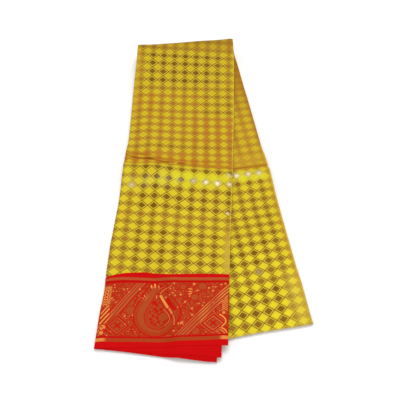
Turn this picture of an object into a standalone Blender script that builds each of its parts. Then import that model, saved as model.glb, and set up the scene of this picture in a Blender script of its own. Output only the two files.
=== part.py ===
"""A brocade sari, folded for the shelf and laid flat: a many-layered strip turned over once at the top.

The upper leg ends in a red pallu and lies partly on the lower leg, partly on the floor. The lower leg
shows on the right. Metres, +Z up, origin on the floor under the middle of the whole piece, +Y towards
the fold.
"""

import math

import bmesh
import bpy
import numpy as np

MM = 0.001

# The folded strip
STRIP_WIDTH = 235 * MM
LEG_THICKNESS = 8 * MM
CLOTH_WALL = 1.2 * MM
PALLU_WALL = 1.0 * MM
GAP = 0.3 * MM
PALLU_GAP = 0.5 * MM
LEG_GAP = 0.8 * MM
CORE_HALF = LEG_THICKNESS / 2 - CLOTH_WALL - GAP

# The turn at the top
FOLD_CENTRE = (-40.37 * MM, 396.12 * MM)
FOLD_LEAN = math.radians(-3.3)
STRIP_SKEW = math.radians(5.95)
TURN_RADIUS = 22 * MM
DESCENT = math.radians(17)
CLOSING_RADIUS = 150 * MM
LOOP_OPENING = 9 * MM
LOOP_LENGTH = 190 * MM

# Distances along the strip, from the turn
TURN_START = 37 * MM
SEAM = 647 * MM
LOWER_END = 776 * MM
UNDERSIDE_END = 774 * MM
CORE_SETBACK = 3 * MM

# Where the upper leg comes down to the floor past an edge of the lower leg
COVER_START = 5 * MM
COVER_RAMP = 45 * MM

# Worked out from the sizes above: the turn's own shape, and how far a leg's length runs ahead of its
# distance in front of the turn
TURN_HEIGHT = LEG_THICKNESS / 2 + TURN_RADIUS
ARC_END = math.pi / 2 + DESCENT
CLOSING_FALL = CLOSING_RADIUS * (1 - math.cos(DESCENT))
TOTAL_FALL = TURN_HEIGHT + TURN_RADIUS * math.cos(DESCENT) - 1.5 * LEG_THICKNESS - LEG_GAP
STRAIGHT_DESCENT = (TOTAL_FALL - CLOSING_FALL) / math.sin(DESCENT)
LOWER_EXTRA = TURN_RADIUS * (math.pi / 2 - 1)
UPPER_EXTRA = (
    TURN_RADIUS * (ARC_END - 1 - math.sin(DESCENT))
    + STRAIGHT_DESCENT * (1 - math.cos(DESCENT))
    + CLOSING_RADIUS * (DESCENT - math.sin(DESCENT))
)

# Edges of the strip in mm: distance from the turn (lower leg negative), left edge, right edge
EDGES = (
    (-780, -117.5, 119.7),
    (-745, -117.5, 117.6),
    (-690, -117.5, 118.0),
    (-570, -117.5, 116.6),
    (-430, -117.5, 117.0),
    (-392, -117.5, 118.4),
    (-330, -117.5, 115.5),
    (-90, -117.0, 114.9),
    (0, -116.5, 112.5),
    (70, -116.8, 117.4),
    (150, -117.9, 119.6),
    (272, -114.1, 121.0),
    (319, -111.2, 121.0),
    (381, -112.5, 121.0),
    (448, -115.6, 121.0),
    (542, -117.6, 120.0),
    (620, -120.2, 119.5),
    (732, -121.8, 120.0),
    (830, -123.8, 120.2),
)

# The old packing crease across both legs: distance in front of the turn, slope, at which side position
UPPER_CREASE = (345 * MM, 0.202, -149 * MM)
LOWER_CREASE = (386.5 * MM, -0.126, 84.6 * MM)
CREASE_BEND = 6 * MM

# Cross lines of the mesh follow the crease this near to its middle, then fade back to straight
CREASE_MIDDLE = 387 * MM
CREASE_FLAT = 35 * MM
CREASE_FADE = 70 * MM

# Air under both legs in mm: distance past the crease, height
CREASE_RISE = (
    (-300, 0.0),
    (-200, 5.0),
    (-100, 9.0),
    (-45, 11.5),
    (-25, 12.5),
    (-16, 10.5),
    (-8, 12.5),
    (0, 10.5),
    (12, 16.5),
    (50, 10.5),
    (90, 3.0),
    (115, 0.0),
    (600, 0.0),
)

# The seam's wander in mm: share across from the left, shift towards the loose end
SEAM_LINE = ((0, 10.0), (0.12, 1.0), (0.3, -3.0), (0.5, 3.0), (1, -2.0))
SEAM_REACH = 50 * MM

# The pallu's rolled top edge in mm: distance below the seam, height over the leg
PALLU_RISE = ((0, 0.5), (3, 2.0), (8, 1.8), (14, 0.4), (20, 1.0), (50, 3.2), (200, 3.2))

# Loose ends of the red layers in mm: end at the left, end at the right, right edge at the end
RED_ENDS = {
    "pallu_face": (800.5, 789.0, 120.2),
    "pallu_second_layer": (800.5, 810.0, 108.8),
    "pallu_third_layer": (800.5, 815.6, 100.8),
}
RED_LAYERS_START = 722 * MM
END_REACH = 90 * MM

# The hidden layers stop short of the face's right edge near the loose end
HIDDEN_EDGE = 120 * MM
HIDDEN_EDGE_AT_END = 98 * MM
NARROWING = (765 * MM, 50 * MM)

# Thinning towards the edges and ends: depth, over what distance
SIDE_THINNING = (1.3 * MM, 12 * MM)
UPPER_END_THINNING = (3.0 * MM, 70 * MM)
LOWER_END_THINNING = (2.0 * MM, 50 * MM)

# Folded edges of the hidden layers: share of the core's half thickness, inset in mm
LAYER_LIPS = ((1.0, 1.8), (0.6, 0.5), (0.2, 2.4), (-0.2, 0.6), (-0.6, 2.2), (-1.0, 0.9))

# Mesh lines: shares across the strip, and distances along it in mm
COLUMNS = (0, 0.018, 0.055, 0.14, 0.26, 0.38, 0.5, 0.62, 0.74, 0.85, 0.945, 0.982, 1)
LAST_FREE_COLUMN = 0.85
RUN_LINES = (
    (47, 60, 85, 110, 140, 175, 215, 255, 290, 320, 343, 356, 366, 375, 382, 388, 394, 401)
    + (412, 427, 450, 480, 515, 555, 600, 645, 672)
)
LOWER_END_LINES = (700, 735, 760)
UPPER_END_LINES = (697, 710, 722, 733, 743, 753, 763, 772, 780, 788, 795)
SEAM_LINES = (0, 3, 8, 14, 20, 32)
LAST_CELL = 5 * MM

MATERIALS = {
    "yellow_brocade": ((0.70, 0.52, 0.02), 0.45, 0.15),
    "red_pallu": ((0.62, 0.01, 0.015), 0.5, 0.1),
    "hidden_layers": ((0.58, 0.40, 0.03), 0.55, 0.1),
}


def smooth(x):
    """Ease from 0 to 1."""
    x = np.clip(x, 0.0, 1.0)
    return x * x * (3 - 2 * x)


def along(table, column, x):
    """A column of a table, read at x by a monotone cubic that never overshoots its rows."""
    rows = np.array(table, float)
    knots, values = rows[:, 0], rows[:, column]
    slopes = np.diff(values) / np.diff(knots)
    tangents = np.zeros(len(knots))
    same_way = slopes[:-1] * slopes[1:] > 0
    tangents[1:-1][same_way] = 2 / (1 / slopes[:-1][same_way] + 1 / slopes[1:][same_way])
    x = np.clip(x, knots[0], knots[-1])
    i = np.clip(np.searchsorted(knots, x) - 1, 0, len(knots) - 2)
    width = knots[i + 1] - knots[i]
    u = (x - knots[i]) / width
    return (
        values[i] * (1 + 2 * u) * (1 - u) ** 2
        + values[i + 1] * u * u * (3 - 2 * u)
        + tangents[i] * width * u * (1 - u) ** 2
        - tangents[i + 1] * width * u * u * (1 - u)
    )


def side_profile(length, offset):
    """Seen from the side: how far in front of the turn's apex, and how high, a point of the strip lies.

    length runs along the strip's middle from the apex, upper leg positive. offset is outwards.
    """
    turn = np.clip(length / TURN_RADIUS, -math.pi / 2, ARC_END)
    forward = TURN_RADIUS - (TURN_RADIUS + offset) * np.cos(turn)
    height = TURN_HEIGHT + (TURN_RADIUS + offset) * np.sin(turn)
    forward = forward + np.maximum(-length - TURN_RADIUS * math.pi / 2, 0)
    past_arc = length - TURN_RADIUS * ARC_END
    down = np.clip(past_arc, 0, STRAIGHT_DESCENT)
    forward = forward + down * math.cos(DESCENT)
    height = height - down * math.sin(DESCENT)
    closed = np.clip(past_arc - STRAIGHT_DESCENT, 0, CLOSING_RADIUS * DESCENT) / CLOSING_RADIUS
    closing = DESCENT - closed
    forward = forward + (CLOSING_RADIUS - offset) * (math.sin(DESCENT) - np.sin(closing))
    height = height - (CLOSING_RADIUS - offset) * (np.cos(closing) - math.cos(DESCENT))
    forward = forward + np.maximum(past_arc - STRAIGHT_DESCENT - CLOSING_RADIUS * DESCENT, 0)
    return forward, height


def crease_line(side):
    """Where the packing crease crosses, in front of the turn. It bends where the legs part."""
    lines = [start + slope * (side - at) for start, slope, at in (UPPER_CREASE, LOWER_CREASE)]
    return -CREASE_BEND * np.log(sum(np.exp(-line / CREASE_BEND) for line in lines))


def edge_positions(distance):
    """Left and right edges of the strip at a distance from the turn."""
    return along(EDGES, 1, distance / MM) * MM, along(EDGES, 2, distance / MM) * MM


def thinning(distance, across):
    """How much thinner the stack is at this place, from its edges and its loose ends."""
    left, right = edge_positions(distance)
    to_side = np.minimum(across - left, right - across)
    depth, reach = SIDE_THINNING
    thin = depth * np.clip(1 - to_side / reach, 0, 1) ** 2
    depth, reach = UPPER_END_THINNING
    thin = thin + depth * smooth((distance - RED_ENDS["pallu_face"][0] * MM + reach) / reach)
    depth, reach = LOWER_END_THINNING
    return thin + depth * smooth((-distance - LOWER_END + reach) / reach)


def place(distance, across, offset):
    """The point of the laid sari for a place on the strip and an offset from its middle layer."""
    length = distance * math.cos(STRIP_SKEW) + across * math.sin(STRIP_SKEW)
    side = across * math.cos(STRIP_SKEW) - distance * math.sin(STRIP_SKEW)
    outer_share = np.clip((offset + CORE_HALF) / (2 * CORE_HALF), 0, 1)
    upper_share = smooth(length / (math.pi * TURN_RADIUS) + 0.5)
    thin = thinning(distance, across)
    offset = offset - thin * upper_share * outer_share + thin * (1 - upper_share) * (1 - outer_share)
    forward, height = side_profile(length, offset)
    height = height + along(CREASE_RISE, 1, (forward - crease_line(side)) / MM) * MM

    # The loop stands a little more open at its right end.
    loop_share = upper_share * (1 - smooth(length / LOOP_LENGTH))
    height = height + LOOP_OPENING * smooth(side / STRIP_WIDTH + 0.5) * loop_share

    # The upper leg comes down to the floor past the lower leg's left edge and past its end.
    below_length = forward + LOWER_EXTRA
    below_across = side * math.cos(STRIP_SKEW) - below_length * math.sin(STRIP_SKEW)
    below_distance = below_length * math.cos(STRIP_SKEW) + side * math.sin(STRIP_SKEW)
    past_edge = np.maximum(-STRIP_WIDTH / 2 - below_across, below_distance - LOWER_END)
    on_upper_run = smooth((length - TURN_RADIUS * math.pi / 2) / COVER_RAMP)
    drop = (LEG_THICKNESS + LEG_GAP) * smooth((past_edge - COVER_START) / COVER_RAMP)
    height = height - drop * on_upper_run

    x = FOLD_CENTRE[0] - forward * math.sin(FOLD_LEAN) + side * math.cos(FOLD_LEAN)
    y = FOLD_CENTRE[1] - forward * math.cos(FOLD_LEAN) - side * math.sin(FOLD_LEAN)
    return np.stack([x, y, height], axis=-1)


def crease_slant(distance, across):
    """Shifts the cross lines of a leg so that they run along the slanting crease."""
    leg = np.sign(distance)
    extra = np.where(leg > 0, UPPER_EXTRA, LOWER_EXTRA)
    crossing = np.full_like(across, CREASE_MIDDLE)
    for _ in range(6):
        side = across * math.cos(STRIP_SKEW) - leg * crossing * math.sin(STRIP_SKEW)
        length = crease_line(side) + extra - leg * across * math.sin(STRIP_SKEW)
        crossing = length / math.cos(STRIP_SKEW)
    away = (np.abs(np.abs(distance) - CREASE_MIDDLE) - CREASE_FLAT) / CREASE_FADE
    return leg * (crossing - CREASE_MIDDLE) * (1 - smooth(away))


def hidden_edge(distance):
    """Right edge of the hidden layers."""
    start, reach = NARROWING
    return HIDDEN_EDGE + (HIDDEN_EDGE_AT_END - HIDDEN_EDGE) * smooth((distance - start) / reach)


def seam_line(share):
    """The seam's shift at a share across."""
    return along(SEAM_LINE, 1, share) * MM


def no_shift(share):
    return 0 * share


def fan(name):
    """How a red layer's loose end slants away from its left corner."""
    left_end, right_end, _ = RED_ENDS[name]
    return lambda share: (right_end - left_end) * MM * share


def make_solid(name, material, lines, levels, start=no_shift, end=no_shift, rise=None, right_edge=None):
    """A closed cloth solid between its first and last level, whose rim follows every level.

    lines are the mesh lines' distances along the strip. levels are (offset, inset) pairs. start and end
    shift the first and last line by the share across. rise lifts the offset. right_edge limits the width.
    """
    lines = np.array(lines, float)
    share = np.broadcast_to(np.array(COLUMNS, float), (len(lines), len(COLUMNS)))
    rows, cols = share.shape
    near_start = np.clip(1 - (lines - lines[0]) / SEAM_REACH, 0, 1)[:, None]
    near_end = np.clip(1 - (lines[-1] - lines) / END_REACH, 0, 1)[:, None]
    past_free = np.clip((share - LAST_FREE_COLUMN) / (1 - LAST_FREE_COLUMN), 0, 1)
    grids = []
    for offset, inset in levels:
        distance = np.clip(lines, lines[0] + inset, lines[-1] - inset)[:, None]
        distance = distance + start(share) * near_start + end(share) * near_end
        left, right = edge_positions(distance)
        across = left + (right - left) * share
        if right_edge:
            surplus = np.maximum(right - right_edge(distance), 0)
            across = across - surplus * past_free
            right = right - surplus
        across = np.clip(across, left + inset, right - inset)
        distance = distance + crease_slant(distance, across)
        lifted = offset + (rise(distance) if rise else 0.0)
        grids.append(place(distance, across, lifted))

    mesh = bmesh.new()
    rim = (
        [(0, j) for j in range(cols)]
        + [(i, cols - 1) for i in range(1, rows)]
        + [(rows - 1, j) for j in range(cols - 2, -1, -1)]
        + [(i, 0) for i in range(rows - 2, 0, -1)]
    )
    made = []
    for level, grid in enumerate(grids):
        whole = level in (0, len(grids) - 1)
        keys = [(i, j) for i in range(rows) for j in range(cols)] if whole else rim
        made.append({key: mesh.verts.new(grid[key]) for key in keys})
    for verts in (made[0], made[-1]):
        for i in range(rows - 1):
            for j in range(cols - 1):
                mesh.faces.new([verts[i, j], verts[i, j + 1], verts[i + 1, j + 1]])
                mesh.faces.new([verts[i, j], verts[i + 1, j + 1], verts[i + 1, j]])
    for upper, lower in zip(made, made[1:]):
        for here, there in zip(rim, rim[1:] + rim[:1]):
            mesh.faces.new([upper[here], upper[there], lower[there], lower[here]])
    bmesh.ops.recalc_face_normals(mesh, faces=mesh.faces)
    data = bpy.data.meshes.new(name)
    mesh.to_mesh(data)
    mesh.free()
    data.shade_smooth()
    data.set_sharp_from_angle(angle=math.radians(40))
    data.materials.append(material)
    solid = bpy.data.objects.new(name, data)
    bpy.context.collection.objects.link(solid)


def make_material(name):
    colour, roughness, metallic = MATERIALS[name]
    material = bpy.data.materials.new(name)
    material.use_nodes = True
    shader = material.node_tree.nodes["Principled BSDF"]
    shader.inputs["Base Color"].default_value = (*colour, 1)
    shader.inputs["Roughness"].default_value = roughness
    shader.inputs["Metallic"].default_value = metallic
    return material


def lower_lines(end):
    """Mesh lines of the lower leg, from its loose end to just before the turn."""
    run = [d * MM for d in RUN_LINES + LOWER_END_LINES]
    return [-end] + [-d for d in reversed(run)]


def upper_lines(end):
    """Mesh lines over the turn and down the upper leg to a place on it."""
    turn = list(np.linspace(-TURN_START, TURN_START, 11))
    run = [d * MM for d in RUN_LINES + UPPER_END_LINES if d * MM < end - LAST_CELL]
    return turn + run + [end]


def sheet_levels(offset, wall):
    """A cloth wall from its outer face to its inner one."""
    return ((offset, 0.0), (offset - wall, 0.0))


def make_body_stretches(yellow):
    """The four yellow stretches: outside and inside of the folded strip."""
    outer = sheet_levels(LEG_THICKNESS / 2, CLOTH_WALL)
    inner = sheet_levels(-LEG_THICKNESS / 2 + CLOTH_WALL, CLOTH_WALL)
    make_solid("upper_body_stretch", yellow, upper_lines(SEAM - GAP), outer, end=seam_line)
    to_turn = [-TURN_START - GAP]
    make_solid("lower_underside_stretch", yellow, lower_lines(UNDERSIDE_END) + to_turn, outer)
    make_solid("lower_body_stretch", yellow, lower_lines(LOWER_END) + to_turn, inner)
    to_end = upper_lines(RED_ENDS["pallu_third_layer"][0] * MM - CORE_SETBACK)
    fanned = fan("pallu_third_layer")
    make_solid("upper_underside_stretch", yellow, to_end, inner, end=fanned, right_edge=hidden_edge)


def make_core(material):
    """All hidden layers of both legs in one solid, with their folded edges as lips all round."""
    levels = [(share * CORE_HALF, inset * MM) for share, inset in LAYER_LIPS]
    lines = lower_lines(LOWER_END - CORE_SETBACK)
    lines = lines + upper_lines(RED_ENDS["pallu_third_layer"][0] * MM - CORE_SETBACK)
    fanned = fan("pallu_third_layer")
    make_solid("hidden_layers", material, lines, levels, end=fanned, right_edge=hidden_edge)


def pallu_rise(distance):
    return along(PALLU_RISE, 1, (distance - SEAM) / MM) * MM


def make_pallu(red):
    """The red face with its rolled top edge, and the two red layers that fan out under it."""
    top = LEG_THICKNESS / 2
    end_lines = [d * MM for d in UPPER_END_LINES]
    face = [SEAM + d * MM for d in SEAM_LINES] + end_lines + [RED_ENDS["pallu_face"][0] * MM]
    levels = sheet_levels(top, CLOTH_WALL)
    make_solid("pallu_face", red, face, levels, start=seam_line, end=fan("pallu_face"), rise=pallu_rise)
    for row, name in enumerate(("pallu_third_layer", "pallu_second_layer")):
        left_end, _, right_side = RED_ENDS[name]
        outer = CORE_HALF + (row + 1) * (PALLU_WALL + PALLU_GAP)
        lines = [d for d in end_lines if d >= RED_LAYERS_START] + [left_end * MM]
        levels = sheet_levels(outer, PALLU_WALL)
        edge = lambda distance, limit=right_side * MM: limit
        make_solid(name, red, lines, levels, end=fan(name), right_edge=edge)


def main():
    for old in list(bpy.data.objects):
        bpy.data.objects.remove(old, do_unlink=True)
    yellow, red, layers = (make_material(name) for name in MATERIALS)
    make_body_stretches(yellow)
    make_core(layers)
    make_pallu(red)


main()
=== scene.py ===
import math

import bpy
import numpy as np
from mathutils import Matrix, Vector


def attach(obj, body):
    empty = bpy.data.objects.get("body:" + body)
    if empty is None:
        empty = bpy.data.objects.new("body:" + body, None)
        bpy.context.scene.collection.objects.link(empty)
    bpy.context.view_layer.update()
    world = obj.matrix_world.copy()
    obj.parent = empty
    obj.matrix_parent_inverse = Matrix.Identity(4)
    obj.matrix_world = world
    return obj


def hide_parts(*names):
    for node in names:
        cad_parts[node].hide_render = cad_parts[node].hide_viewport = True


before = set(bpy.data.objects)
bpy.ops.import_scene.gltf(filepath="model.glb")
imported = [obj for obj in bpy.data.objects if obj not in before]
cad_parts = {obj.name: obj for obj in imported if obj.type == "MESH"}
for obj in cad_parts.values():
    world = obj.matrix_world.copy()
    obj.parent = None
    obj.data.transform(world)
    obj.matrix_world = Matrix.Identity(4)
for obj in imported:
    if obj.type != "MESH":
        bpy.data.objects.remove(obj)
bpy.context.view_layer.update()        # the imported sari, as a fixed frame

mm = 0.001
bpy.ops.object.select_all(action="DESELECT")

# How the folded strip lies: metres, and degrees for the three angles
laid = {
    "foldX": -0.04037,
    "foldY": 0.39612,
    "foldLean": -3.3,
    "skew": 5.95,
    "stripWidth": 0.235,
    "legThickness": 0.008,
    "legGap": 0.0008,
    "turnRadius": 0.022,
    "descent": 17,
    "closingRadius": 0.15,
    "loopOpening": 0.009,
    "loopLength": 0.19,
    "turnStart": 0.037,
    "lowerEnd": 0.776,
    "upperEnd": 0.8005,
    "coverStart": 0.005,
    "coverRamp": 0.045,
    "coreHalf": 0.0025,
    "creaseBend": 0.006,
    "foldBow": 0.003,
    "foldBowCentre": -0.006,
    "foldBowHalf": 0.112,
    "foldBowReach": 0.09,
}

# Edges of the strip in mm: distance from the turn, left, right
edgeTable = (
    (-780, -117.5, 121.5), (-745, -117.5, 120.3), (-690, -117.5, 120.6), (-640, -117.5, 119.0),
    (-570, -117.5, 118.8), (-515, -117.5, 118.7), (-465, -117.5, 117.3), (-430, -117.5, 117.0),
    (-392, -117.5, 117.0), (-345, -117.5, 114.0), (-290, -117.5, 114.3), (-90, -117.0, 114.9),
    (0, -118.5, 112.5), (70, -116.8, 117.4), (150, -117.9, 119.6), (272, -114.1, 121.0),
    (319, -112.6, 121.0), (361, -115.2, 121.0), (448, -115.9, 121.0), (542, -119.4, 120.0),
    (590, -121.4, 119.7), (640, -121.4, 119.5), (690, -119.7, 119.8), (732, -121.9, 120.0),
    (830, -123.8, 120.2),
)

# Packing crease, one line on each leg: distance in front of the turn, slope, at which side position
creaseLines = ((0.345, 0.202, -0.149), (0.3865, -0.126, 0.0846))

# Air under both legs in mm: distance past the crease, height
creaseRise = (
    (-300, 0.0), (-200, 5.0), (-100, 9.0), (-45, 11.5), (-25, 12.5), (-16, 10.5), (-8, 12.5),
    (0, 10.5), (12, 16.5), (50, 10.5), (90, 3.0), (115, 0.0), (600, 0.0),
)

# Thinning of the stack at its sides and loose ends: depth, over what distance
thinningAt = {"side": (0.0013, 0.012), "upperEnd": (0.003, 0.07), "lowerEnd": (0.002, 0.05)}


def smooth(x):
    x = np.clip(x, 0.0, 1.0)
    return x * x * (3 - 2 * x)


def rise(x, start, over):
    return smooth((x - start) / over)


def fall(x, start, over):
    return 1 - rise(x, start, over)


def span(x, start, over, end, endOver):
    # 0 before the start, 1 between, 0 past the end, with a soft ramp at both
    return rise(x, start, over) * fall(x, end, endOver)


def readTable(table, column, x):
    # a monotone cubic through the rows, which never overshoots them
    rows = np.array(table, float)
    knots, values = rows[:, 0], rows[:, column]
    slopes = np.diff(values) / np.diff(knots)
    tangents = np.zeros(len(knots))
    sameWay = slopes[:-1] * slopes[1:] > 0
    tangents[1:-1][sameWay] = 2 / (1 / slopes[:-1][sameWay] + 1 / slopes[1:][sameWay])
    x = np.clip(x, knots[0], knots[-1])
    i = np.clip(np.searchsorted(knots, x) - 1, 0, len(knots) - 2)
    width = knots[i + 1] - knots[i]
    u = (x - knots[i]) / width
    return (
        values[i] * (1 + 2 * u) * (1 - u) ** 2
        + values[i + 1] * u * u * (3 - 2 * u)
        + tangents[i] * width * u * (1 - u) ** 2
        - tangents[i + 1] * width * u * u * (1 - u)
    )


def sideProfile(length, offset):
    # the strip seen from the side: in front of the turn's apex, and height
    radius = laid["turnRadius"]
    closing = laid["closingRadius"]
    descent = math.radians(laid["descent"])
    turnHeight = laid["legThickness"] / 2 + radius
    arcEnd = math.pi / 2 + descent
    totalFall = turnHeight + radius * math.cos(descent) - 1.5 * laid["legThickness"] - laid["legGap"]
    straight = (totalFall - closing * (1 - math.cos(descent))) / math.sin(descent)
    turn = np.clip(length / radius, -math.pi / 2, arcEnd)
    forward = radius - (radius + offset) * np.cos(turn)
    height = turnHeight + (radius + offset) * np.sin(turn)
    forward = forward + np.maximum(-length - radius * math.pi / 2, 0)
    pastArc = length - radius * arcEnd
    down = np.clip(pastArc, 0, straight)
    forward = forward + down * math.cos(descent)
    height = height - down * math.sin(descent)
    still = descent - np.clip(pastArc - straight, 0, closing * descent) / closing
    forward = forward + (closing - offset) * (math.sin(descent) - np.sin(still))
    height = height - (closing - offset) * (np.cos(still) - math.cos(descent))
    return forward + np.maximum(pastArc - straight - closing * descent, 0), height


def creaseLine(side):
    bend = laid["creaseBend"]
    lines = [start + slope * (side - at) for start, slope, at in creaseLines]
    return -bend * np.log(sum(np.exp(-line / bend) for line in lines))


def edgePositions(distance):
    return readTable(edgeTable, 1, distance / mm) * mm, readTable(edgeTable, 2, distance / mm) * mm


def thinning(distance, across):
    left, right = edgePositions(distance)
    toSide = np.minimum(across - left, right - across)
    depth, reach = thinningAt["side"]
    thin = depth * np.clip(1 - toSide / reach, 0, 1) ** 2
    depth, reach = thinningAt["upperEnd"]
    thin = thin + depth * rise(distance, laid["upperEnd"] - reach, reach)
    depth, reach = thinningAt["lowerEnd"]
    return thin + depth * rise(-distance, laid["lowerEnd"] - reach, reach)


def place(distance, across, offset):
    # a place on the strip, and how far it lies outwards of the middle layer, as a point of the laid sari
    skew, lean = math.radians(laid["skew"]), math.radians(laid["foldLean"])
    radius, width, core = laid["turnRadius"], laid["stripWidth"], laid["coreHalf"]
    length = distance * math.cos(skew) + across * math.sin(skew)
    side = across * math.cos(skew) - distance * math.sin(skew)
    outerShare = np.clip((offset + core) / (2 * core), 0, 1)
    upperShare = smooth(length / (math.pi * radius) + 0.5)
    thin = thinning(distance, across)
    offset = offset - thin * upperShare * outerShare + thin * (1 - upperShare) * (1 - outerShare)
    forward, height = sideProfile(length, offset)
    bow = np.clip(1 - ((side - laid["foldBowCentre"]) / laid["foldBowHalf"]) ** 6, 0, 1)
    forward = forward + laid["foldBow"] * bow * np.exp(-((length / laid["foldBowReach"]) ** 2))
    height = height + readTable(creaseRise, 1, (forward - creaseLine(side)) / mm) * mm

    # the loop stands a little more open at its right end
    loopShare = upperShare * (1 - smooth(length / laid["loopLength"]))
    height = height + laid["loopOpening"] * smooth(side / width + 0.5) * loopShare

    # the upper leg comes down to the floor past the lower leg's left edge and past its end
    belowLength = forward + radius * (math.pi / 2 - 1)
    belowAcross = side * math.cos(skew) - belowLength * math.sin(skew)
    belowDistance = belowLength * math.cos(skew) + side * math.sin(skew)
    pastEdge = np.maximum(-width / 2 - belowAcross, belowDistance - laid["lowerEnd"])
    onUpper = rise(length, radius * math.pi / 2, laid["coverRamp"])
    drop = (laid["legThickness"] + laid["legGap"]) * rise(pastEdge, laid["coverStart"], laid["coverRamp"])
    height = height - drop * onUpper

    x = laid["foldX"] - forward * math.sin(lean) + side * math.cos(lean)
    y = laid["foldY"] - forward * math.cos(lean) - side * math.sin(lean)
    return np.stack([x, y, np.maximum(height, 0)], axis=-1)


# The woven lattice of the upper leg. Rows in mm at columns 0, 4 and 8: they bunch up in the crease
rowTable = (
    (-37, -785, -785, -785), (0, 42, 46, 52), (2, 85, 87, 89), (5, 157, 156, 153), (8, 229, 232, 230),
    (14, 357, 362, 361), (15, 371, 380, 377), (16, 381, 391, 393), (17, 393, 406, 411),
    (18, 416, 430, 437), (28, 634, 643, 648), (36, 805, 814, 820),
)
rowColumns = (0, 4, 8)

# Distance, where column 0 lies, and the pitch of the columns, in mm
columnTable = (
    (-840, -103.5, 26), (60, -103.5, 26), (220, -97.5, 25.8), (340, -92, 25.7), (410, -91, 26),
    (460, -93.5, 26), (900, -94, 25.9),
)

# The same for the lower leg, from the turn: rows at columns 0 and 4
lowerRowTable = (
    (-27, -20, -20), (-18, 182, 182), (-9, 388, 386), (-8.4, 391.5, 392), (-8, 400, 401),
    (-6, 444, 444), (-3, 503, 503), (0, 564, 564), (12, 822, 815),
)
lowerRowColumns = (0, 4)
lowerColumnTable = (
    (-20, 12, 24.6), (370, 13, 24.6), (410, 17, 24.6), (500, 17, 24.6), (550, 18.5, 24.6),
    (850, 19, 24.6),
)


def latticePlace(s, t, table, keyColumns, columnRows):
    # column and row of the lattice. Here and below, s and t are distance and across in mm
    column = (t - readTable(columnRows, 1, s)) / readTable(columnRows, 2, s)
    rows = np.array(table, float)
    along = np.interp(column, keyColumns, range(len(keyColumns)))
    key = np.minimum(along.astype(int), len(keyColumns) - 2)
    low, high = (np.moveaxis(rows[:, 1 + k], 0, -1) for k in (key, key + 1))
    at = low + (high - low) * (along - key)[..., None]
    shares = np.clip((s[..., None] - at[..., :-1]) / np.diff(at, axis=-1), 0, 1)
    return column, rows[0, 0] + (shares * np.diff(rows[:, 0])).sum(-1)


def upperLatticePlace(s, t):
    return latticePlace(s, t, rowTable, rowColumns, columnTable)


def lowerLatticePlace(s, t):
    return latticePlace(-s, t, lowerRowTable, lowerRowColumns, lowerColumnTable)


# Soft folds in mm: the distances they run through, evenly from the left edge to the right, width, height
upperFolds = (
    ((350, 375, 382, 386), 2.4, -0.5), ((360.5, 381.5, 388.3, 392), 2.4, -0.7),
    ((367, 387, 394, 398), 3.0, 0.2), ((184, 182, 180), 3.5, 0.35), ((509, 521, 511), 3.2, -0.4),
    ((503, 515, 506), 3.2, 0.3),
)
lowerFolds = (
    ((-408, -406, -403), 2.6, -0.9), ((-398, -396, -394), 3.2, 0.4), ((-180, -182, -186), 3.4, 0.3),
)

# Deeper than this, in mm, the layers between would show through the cloth
deepestFold = -0.5
foldSides = (-112, 119)


def foldShare(s, t, ends, width):
    # 1 on the line of a fold, and softly down to 0 beside it
    at = np.interp(t, np.linspace(*foldSides, len(ends)), ends)
    return np.exp(-(((s - at) / width) ** 2))


def foldRelief(s, t, folds):
    return sum(height * foldShare(s, t, ends, width) for ends, width, height in folds)


def upperRelief(distance, across):
    # the listed folds, and the cloth's own slow unevenness
    s, t = distance / mm, across / mm
    relief = foldRelief(s, t, upperFolds)
    relief = relief + 0.22 * np.sin(s / 31 + t / 47) * np.sin(t / 23 + 0.6)
    relief = relief + 0.12 * np.sin(s / 13 - t / 61 + 1.1) * np.sin(t / 17)
    return np.maximum(relief, deepestFold) * mm


def lowerRelief(distance, across):
    # this leg's face lies on the inner side of the strip, so its folds rise the other way
    s, t = distance / mm, across / mm
    relief = foldRelief(s, t, lowerFolds)
    relief = relief + 0.2 * np.sin(s / 29 - t / 43) * np.sin(t / 21 + 1.9)
    return -np.maximum(relief, deepestFold) * mm


def hiddenRelief(distance, across):
    s, t = distance / mm, across / mm
    return 0.18 * mm * np.sin(s / 33 + t / 39 + 2.0) * np.sin(t / 25 + 0.3)


# A folded edge: radius of the lip in metres, and how far the turned-in cloth reaches
lip = {"radius": 0.00045, "steps": (0, 30, 60, 90, 120, 150, 180), "flap": 0.008}


def lipSteps(radius=None):
    # (inward, drop) from the flat cloth round the lip and back under it
    r = lip["radius"] if radius is None else radius
    angles = [math.radians(step) for step in lip["steps"]]
    return [(r * (1 - math.sin(a)), r * (1 - math.cos(a))) for a in angles] + [(lip["flap"], 2 * r)]


def acrossColumns(step, radius=None, beside=()):
    # share across, distance in from the left or right edge, and drop, for each line of points
    steps = lipSteps(radius)
    count = int(round(laid["stripWidth"] / step))
    left = [(0.0, inward, drop) for inward, drop in reversed(steps)]
    middle = [(k / count, steps[0][0] * (1 - 2 * k / count), 0.0) for k in range(1, count)]
    right = [(1.0, -inward, drop) for inward, drop in steps]
    left += [(0.0, inward, 0.0) for inward in beside]
    right = [(1.0, -inward, 0.0) for inward in reversed(beside)] + right
    return np.array(left + middle + right)


def alongRows(start, end, step, turnStart=False, turnEnd=False, radius=None):
    # distance along the strip and drop. A loose end is turned under like a side
    steps = lipSteps(radius)
    count = max(2, int(round(abs(end - start) / step)))
    rows = []
    if turnStart:
        rows += [(start + inward, drop) for inward, drop in reversed(steps)]
    first, last = (1 if turnStart else 0), (count - 1 if turnEnd else count)
    rows += [(start + (end - start) * k / count, 0.0) for k in range(first, last + 1)]
    if turnEnd:
        rows += [(end - inward, drop) for inward, drop in steps]
    return np.array(rows)


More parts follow.
